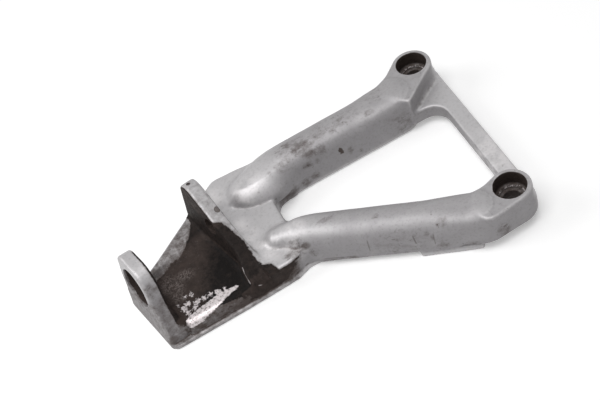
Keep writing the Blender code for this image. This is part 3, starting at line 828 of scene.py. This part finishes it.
def addNode(tree, kind, values=None, **settings):
    made = tree.nodes.new(kind)
    for name, value in settings.items():
        setattr(made, name, value)
    for slot, value in (values or {}).items():
        if isinstance(value, bpy.types.NodeSocket):
            tree.links.new(value, made.inputs[slot])
        else:
            made.inputs[slot].default_value = value
    return made


def maths(tree, operation, a, b=0.0, clamp=False):
    return addNode(tree, "ShaderNodeMath", {0: a, 1: b}, operation=operation, use_clamp=clamp).outputs[0]


def vector(tree, operation, a, b=(0, 0, 0)):
    made = addNode(tree, "ShaderNodeVectorMath", {0: a, 1: b}, operation=operation)
    return made.outputs["Value" if operation in ("LENGTH", "DOT_PRODUCT", "DISTANCE") else "Vector"]


def times(tree, a, b):
    return maths(tree, "MULTIPLY", a, b)


def plus(tree, a, b, clamp=False):
    return maths(tree, "ADD", a, b, clamp)


def minus(tree, a, b, clamp=False):
    return maths(tree, "SUBTRACT", a, b, clamp)


def most(tree, a, b):
    return maths(tree, "MAXIMUM", a, b)


def oneMinus(tree, a):
    return minus(tree, 1.0, a)


def unevenly(tree, amount, pattern, spread, clamp=False):
    # a mask shifted up and down by a pattern around 0.5
    return plus(tree, amount, times(tree, minus(tree, pattern, 0.5), spread), clamp)


def mixValue(tree, factor, a, b):
    return addNode(tree, "ShaderNodeMix", {0: factor, 2: a, 3: b}, data_type="FLOAT").outputs[0]


def mixColour(tree, factor, a, b):
    colours = [c if isinstance(c, bpy.types.NodeSocket) else (*c, 1) for c in (a, b)]
    return addNode(tree, "ShaderNodeMix", {0: factor, 6: colours[0], 7: colours[1]},
                   data_type="RGBA").outputs[2]


def stepped(tree, value, low, high):
    return addNode(tree, "ShaderNodeMapRange", {0: value, 1: low, 2: high},
                   interpolation_type="SMOOTHSTEP").outputs[0]


def noise(tree, spot, scale, detail=2.0, rough=0.5, output="Fac"):
    return addNode(tree, "ShaderNodeTexNoise",
                   {"Vector": spot, "Scale": scale, "Detail": detail, "Roughness": rough}).outputs[output]


def newGroup(name, inputs, outputs):
    group = bpy.data.node_groups.new(name, "ShaderNodeTree")
    for label, kind, value in inputs:
        socket = group.interface.new_socket(name=label, in_out="INPUT", socket_type=kind)
        if value is not None:
            socket.default_value = value
    for label in outputs:
        group.interface.new_socket(name=label, in_out="OUTPUT", socket_type="NodeSocketFloat")
    return group, group.nodes.new("NodeGroupInput").outputs, group.nodes.new("NodeGroupOutput").inputs


number, place = "NodeSocketFloat", "NodeSocketVector"


def castGrainGroup():
    # fine pebble of a painted die casting
    tree, given, out = newGroup("castGrain", [("Spot", place, None), ("Size", number, 1.0)],
                                ["Height", "Mottle"])
    spot = vector(tree, "SCALE", given["Spot"])
    tree.links.new(given["Size"], spot.node.inputs["Scale"])
    fine = noise(tree, spot, 2.6, 2.0, 0.6)
    broad = noise(tree, spot, 0.55, 3.0, 0.55)
    tree.links.new(plus(tree, times(tree, fine, 0.65), times(tree, broad, 0.35)), out["Height"])
    tree.links.new(noise(tree, spot, 0.16, 4.0, 0.6), out["Mottle"])
    return tree


def brokenEdgeGroup():
    # turns a soft mask into one with a ragged border
    tree, given, out = newGroup("brokenEdge",
                                [("Spot", place, None), ("Amount", number, 0.0),
                                 ("Raggedness", number, 0.5),
                                               ("Softness", number, 0.12), ("Grain", number, 0.5)],
                                               ["Mask"])
    spot = vector(tree, "SCALE", given["Spot"])
    tree.links.new(given["Grain"], spot.node.inputs["Scale"])
    ragged = noise(tree, spot, 1.0, 4.0, 0.62)
    shift = times(tree, minus(tree, ragged, 0.5), given["Raggedness"])
    value = plus(tree, given["Amount"], shift)
    made = addNode(tree, "ShaderNodeMapRange", {0: value}, interpolation_type="SMOOTHSTEP")
    tree.links.new(minus(tree, 0.5, given["Softness"]), made.inputs[1])
    tree.links.new(plus(tree, 0.5, given["Softness"]), made.inputs[2])
    tree.links.new(made.outputs[0], out["Mask"])
    return tree


def specksGroup():
    # scattered small dots
    tree, given, out = newGroup("specks",
                                [("Spot", place, None), ("Spacing", number, 2.0), ("Share", number, 0.3)],
                                ["Mask"])
    spot = vector(tree, "DIVIDE", given["Spot"])
    spread = tree.nodes.new("ShaderNodeCombineXYZ")
    for k in range(3):
        tree.links.new(given["Spacing"], spread.inputs[k])
    tree.links.new(spread.outputs[0], spot.node.inputs[1])
    dots = addNode(tree, "ShaderNodeTexVoronoi", {"Vector": spot, "Scale": 1.0})
    size = addNode(tree, "ShaderNodeSeparateColor", {0: dots.outputs["Color"]}).outputs
    chosen = maths(tree, "LESS_THAN", size[0], given["Share"])
    reach = plus(tree, times(tree, times(tree, size[1], size[1]), 0.2), 0.05)
    near = oneMinus(tree, stepped(tree, maths(tree, "DIVIDE", dots.outputs["Distance"], reach), 0.6, 1.2))
    tree.links.new(times(tree, near, chosen), out["Mask"])
    return tree


def scratchGroup():
    # a line between two places
    tree, given, out = newGroup("scratchLine", [("Spot", place, None), ("Start", place, None),
                                                ("End", place, None), ("Width", number, 0.3)], ["Mask"])
    run = vector(tree, "SUBTRACT", given["End"], given["Start"])
    reach = vector(tree, "SUBTRACT", given["Spot"], given["Start"])
    t = maths(tree, "DIVIDE", vector(tree, "DOT_PRODUCT", reach, run),
              vector(tree, "DOT_PRODUCT", run, run), clamp=True)
    close = vector(tree, "SCALE", run)
    tree.links.new(t, close.node.inputs["Scale"])
    gapSize = vector(tree, "DISTANCE", reach, close)
    edge = stepped(tree, maths(tree, "DIVIDE", gapSize, given["Width"]), 0.7, 1.3)
    tree.links.new(oneMinus(tree, edge), out["Mask"])
    return tree


castGrain, brokenEdge = castGrainGroup(), brokenEdgeGroup()
specks, scratchLine = specksGroup(), scratchGroup()


def use(tree, group, values):
    return addNode(tree, "ShaderNodeGroup", values, node_tree=group).outputs


def silverPaintMaterial():
    material = bpy.data.materials.new("silverPaint")
    material.use_nodes = True
    tree = material.node_tree
    shader = tree.nodes["Principled BSDF"]
    spot = vector(tree, "MULTIPLY", tree.nodes.new("ShaderNodeTexCoord").outputs["Object"],
                  (1000, 1000, 1000))
    warp = vector(tree, "SUBTRACT", noise(tree, spot, 0.5, 3.0, 0.6, "Color"), (0.5, 0.5, 0.5))
    bent = vector(tree, "ADD", spot, vector(tree, "MULTIPLY", warp, (2.2, 2.2, 2.2)))

    def layer(name):
        return addNode(tree, "ShaderNodeAttribute", attribute_name=name).outputs["Fac"]

    def ragged(amount, raggedness, softness, grain):
        return use(tree, brokenEdge, {"Spot": spot, "Amount": amount, "Raggedness": raggedness,
                                      "Softness": softness, "Grain": grain})["Mask"]

    def scratched(at, start, end, width, strength):
        mark = use(tree, scratchLine, {"Spot": at, "Start": start, "End": end, "Width": width})["Mask"]
        return times(tree, mark, strength)

    grain = use(tree, castGrain, {"Spot": spot, "Size": 1.0})
    # silver, duller along the arms and darker on near-facing walls as painted shade, brighter at worn edges
    # and painted highlights
    dullAndShaded = unevenly(tree, layer("dullPaintAndShade"), grain["Mottle"], 0.55, clamp=True)
    colour = mixColour(tree, dullAndShaded, finish["silver"], finish["dullShadedSilver"])
    rubbedAndHighlit = times(tree, layer("rubbedEdgeAndHighlight"), stepped(tree, grain["Mottle"], 0.3, 0.62))
    colour = mixColour(tree, times(tree, rubbedAndHighlit, 0.75), colour, finish["bareAndHighlit"])
    # dirt film with painted shade in corners and undersides, smears and specks
    filmNoise = noise(tree, bent, 0.42, 5.0, 0.68)
    filmAndShade = stepped(tree, unevenly(tree, layer("dirtFilmAndShade"), filmNoise, 1.1), 0.12, 1.05)
    filmAndShade = times(tree, filmAndShade, stepped(tree, layer("dirtFilmAndShade"), 0.02, 0.2))
    colour = mixColour(tree, filmAndShade, colour, finish["dirt"])
    runs = noise(tree, vector(tree, "MULTIPLY", bent, (0.22, 0.8, 1.2)), 1.0, 4.0, 0.65)
    runs = stepped(tree, runs, 0.5, 0.64)
    runs = times(tree, times(tree, runs, stepped(tree, layer("dirtFilmAndShade"), 0.4, 0.85)), 0.8)
    colour = mixColour(tree, runs, colour, finish["brownGrease"])
    smearNoise = noise(tree, vector(tree, "MULTIPLY", bent, (0.6, 1.0, 0.8)), 0.5, 5.0, 0.7)
    smear = stepped(tree, unevenly(tree, layer("smear"), smearNoise, 1.5), 0.16, 0.98)
    smear = times(tree, smear, stepped(tree, layer("smear"), 0.02, 0.4))
    colour = mixColour(tree, times(tree, smear, 0.9), colour, finish["smudge"])
    # thin wandering scratches, thickest inside the smears
    wander = noise(tree, vector(tree, "MULTIPLY", bent, (0.6, 1.5, 1.1)), 0.42, 2.0, 0.5)
    thread = maths(tree, "ABSOLUTE", minus(tree, wander, 0.5))
    thread = oneMinus(tree, stepped(tree, thread, 0.008, 0.036))
    broken = stepped(tree, noise(tree, spot, 0.4, 3.0, 0.6), 0.52, 0.66)
    thread = times(tree, times(tree, thread, broken), stepped(tree, layer("smear"), 0.1, 0.5))
    colour = mixColour(tree, times(tree, thread, 0.9), colour, finish["dirt"])
    sparse = use(tree, specks, {"Spot": bent, "Spacing": 2.6, "Share": 0.06})["Mask"]
    crowded = use(tree, specks, {"Spot": bent, "Spacing": 1.1, "Share": 0.3})["Mask"]
    crowded = times(tree, crowded, most(tree, layer("dirtFilmAndShade"), layer("smear")))
    dots = most(tree, times(tree, sparse, 0.6), crowded)
    colour = mixColour(tree, times(tree, dots, 0.6), colour, finish["dirt"])
    lines = 0.0
    for start, end, width, strength in finish["scratches"]:
        mark = scratched(bent if width > 0.6 else spot, start, end, width, strength)
        lines = mark if lines == 0.0 else most(tree, lines, mark)
    for centre, radius in finish["castMarks"]:
        gapSize = vector(tree, "DISTANCE", spot, centre)
        disc = times(tree, oneMinus(tree, stepped(tree, gapSize, radius - 0.1, radius + 0.15)), 0.8)
        ringLine = maths(tree, "ABSOLUTE", minus(tree, gapSize, radius))
        ringLine = times(tree, oneMinus(tree, stepped(tree, ringLine, 0.1, 0.3)), 0.9)
        lines = most(tree, lines, most(tree, disc, ringLine))
    colour = mixColour(tree, lines, colour, finish["dirt"])
    # grease with a ragged border, scraped through in streaks
    halo = times(tree, ragged(plus(tree, layer("grease"), 0.2), 1.1, 0.35, 0.8), 0.66)
    colour = mixColour(tree, halo, colour, finish["dirt"])
    grease = ragged(layer("grease"), 1.0, 0.1, 0.7)
    scrape = noise(tree, vector(tree, "MULTIPLY", bent, (0.35, 1.0, 1.6)), 1.3, 4.0, 0.7)
    scrape = stepped(tree, scrape, 0.6, 0.72)
    thin = times(tree, scrape, minus(tree, 1.0, layer("greaseBlackAndShadow"), clamp=True))
    # blacker where the grease layer holds the inner ear's painted shadow
    black = unevenly(tree, layer("greaseBlackAndShadow"), noise(tree, bent, 0.36, 5.0, 0.68), 1.5, clamp=True)
    greaseColour = mixColour(tree, black, finish["brownGrease"], finish["blackGrease"])
    greaseColour = mixColour(tree, times(tree, thin, 0.5), greaseColour, finish["scraped"])
    pale = times(tree, layer("paleFloor"), stepped(tree, noise(tree, bent, 1.1, 4.0, 0.75), 0.42, 0.62))
    greaseColour = mixColour(tree, times(tree, pale, 0.8), greaseColour, finish["paleDirt"])
    colour = mixColour(tree, grease, colour, greaseColour)
    # bare metal shows through with a speckled border; on the pocket floor's edge it is also a painted
    # highlight, and the bright lines are painted highlights on edges
    bareAndHighlit = ragged(layer("bareMetalAndHighlight"), 1.35, 0.08, 1.0)
    pits = use(tree, specks, {"Spot": spot, "Spacing": 1.2, "Share": 0.4})["Mask"]
    bareAndHighlit = times(tree, bareAndHighlit, minus(tree, 1.0, times(tree, pits, 0.7)))
    for start, end, width, strength in finish["brightHighlightLines"]:
        bareAndHighlit = most(tree, bareAndHighlit, scratched(spot, start, end, width, strength))
    wornAndHighlit = stepped(tree, noise(tree, spot, 0.9, 4.0, 0.7), 0.33, 0.52)
    wornAndHighlit = mixColour(tree, wornAndHighlit, finish["scraped"], finish["wornAndHighlit"])
    colour = mixColour(tree, bareAndHighlit, colour, wornAndHighlit)
    tree.links.new(colour, shader.inputs["Base Color"])
    shader.inputs["Specular IOR Level"].default_value = finish["specular"]

    metal = mixValue(tree, grease, finish["metallic"], 0.0)
    metal = mixValue(tree, most(tree, filmAndShade, smear), metal, times(tree, metal, 0.5))
    tree.links.new(mixValue(tree, bareAndHighlit, metal, 0.5), shader.inputs["Metallic"])
    rough = plus(tree, finish["roughness"] - 0.05, times(tree, grain["Mottle"], 0.1))
    rough = mixValue(tree, dullAndShaded, rough, plus(tree, rough, 0.17))
    rough = mixValue(tree, most(tree, filmAndShade, smear), rough, 0.62)
    rough = mixValue(tree, grease, rough, plus(tree, 0.4, times(tree, noise(tree, bent, 0.6, 3.0), 0.4)))
    tree.links.new(mixValue(tree, bareAndHighlit, rough, 0.42), shader.inputs["Roughness"])

    height = times(tree, grain["Height"], finish["grainDepth"])
    crust = times(tree, grease, plus(tree, 0.05, times(tree, noise(tree, bent, 0.9, 4.0, 0.65), 0.22)))
    height = plus(tree, height, times(tree, crust, minus(tree, 1.0, bareAndHighlit)))
    height = minus(tree, height, times(tree, lines, 0.08))
    bump = addNode(tree, "ShaderNodeBump", {"Strength": 0.8, "Distance": 0.001, "Height": height})
    tree.links.new(bump.outputs[0], shader.inputs["Normal"])
    print("paint mixed from", len(tree.nodes), "nodes")
    return material


paint = silverPaintMaterial()
hanger.data.materials.clear()
hanger.data.materials.append(paint)
hanger.data.polygons.foreach_set("material_index", [0] * len(hanger.data.polygons))

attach(hanger, "root")
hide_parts("hanger_casting")

# floor, light and camera

room = {"floorColour": (0.93, 0.93, 0.93), "floorLift": 0.26, "worldLevel": 0.3,
        "overhead": {"spot": (-0.10, -0.20, 1.10), "size": 0.72, "power": 6.5},
        "left": {"spot": (-0.70, 0.30, 0.65), "size": 0.5, "power": 2.5}}


def seenDirectly(tree):
    # 1 for rays from the camera, in reflections and through glass
    path = tree.nodes.new("ShaderNodeLightPath").outputs
    return most(tree, most(tree, path["Is Camera Ray"], path["Is Glossy Ray"]), path["Is Transmission Ray"])


def makeFloor():
    mesh = bpy.data.meshes.new("studioFloor")
    mesh.from_pydata([(-4, -4, 0), (4, -4, 0), (4, 4, 0), (-4, 4, 0)], [], [(0, 1, 2, 3)])
    floor = bpy.data.objects.new("studioFloor", mesh)
    bpy.context.scene.collection.objects.link(floor)
    paper = bpy.data.materials.new("floorPaper")
    paper.use_nodes = True
    tree = paper.node_tree
    shader = tree.nodes["Principled BSDF"]
    shader.inputs["Base Color"].default_value = (*room["floorColour"], 1)
    shader.inputs["Roughness"].default_value = 1.0
    shader.inputs["Specular IOR Level"].default_value = 0.0
    lift = addNode(tree, "ShaderNodeEmission",
                   {"Strength": times(tree, seenDirectly(tree), room["floorLift"])})
    both = addNode(tree, "ShaderNodeAddShader", {0: shader.outputs[0], 1: lift.outputs[0]})
    tree.links.new(both.outputs[0], tree.nodes["Material Output"].inputs["Surface"])
    mesh.materials.append(paper)


def makeWorld():
    world = bpy.data.worlds.new("studioWorld")
    bpy.context.scene.world = world
    world.use_nodes = True
    tree = world.node_tree
    tree.nodes.clear()
    lit = addNode(tree, "ShaderNodeBackground", {"Color": (1, 1, 1, 1), "Strength": room["worldLevel"]})
    white = addNode(tree, "ShaderNodeBackground", {"Color": (1, 1, 1, 1), "Strength": 1.0})
    mix = addNode(tree, "ShaderNodeMixShader",
                  {0: seenDirectly(tree), 1: lit.outputs[0], 2: white.outputs[0]})
    addNode(tree, "ShaderNodeOutputWorld", {"Surface": mix.outputs[0]})


def areaLamp(name, spot, size, power):
    data = bpy.data.lights.new(name, "AREA")
    data.size = size
    data.energy = power
    lamp = bpy.data.objects.new(name, data)
    lamp.location = spot
    lamp.rotation_euler = (Vector((0.065, 0, 0.01)) - Vector(spot)).to_track_quat("-Z", "Y").to_euler()
    bpy.context.scene.collection.objects.link(lamp)


makeFloor()
makeWorld()
areaLamp("overheadSoftbox", **room["overhead"])
areaLamp("leftSoftbox", **room["left"])
print("floor and lamps set")

view = {"spot": (0.022836, -0.364452, 0.423199), "lens": 71.334,
        "right": (0.88258852, -0.38840121, -0.26491888),
        "up": (0.46424691, 0.63099797, 0.62154354),
        "toward": (-0.07424499, -0.67155496, 0.73722562)}
cameraData = bpy.data.cameras.new("photoCamera")
cameraData.sensor_width = 36.0
cameraData.lens = view["lens"]
cameraData.clip_start = 0.01
camera = bpy.data.objects.new("photoCamera", cameraData)
camera.matrix_world = Matrix((view["right"], view["up"], view["toward"])).transposed().to_4x4()
camera.location = view["spot"]
bpy.context.scene.collection.objects.link(camera)
bpy.context.scene.camera = camera
bpy.context.scene.view_settings.view_transform = "Standard"

bpy.context.view_layer.update()
print("scene ready")
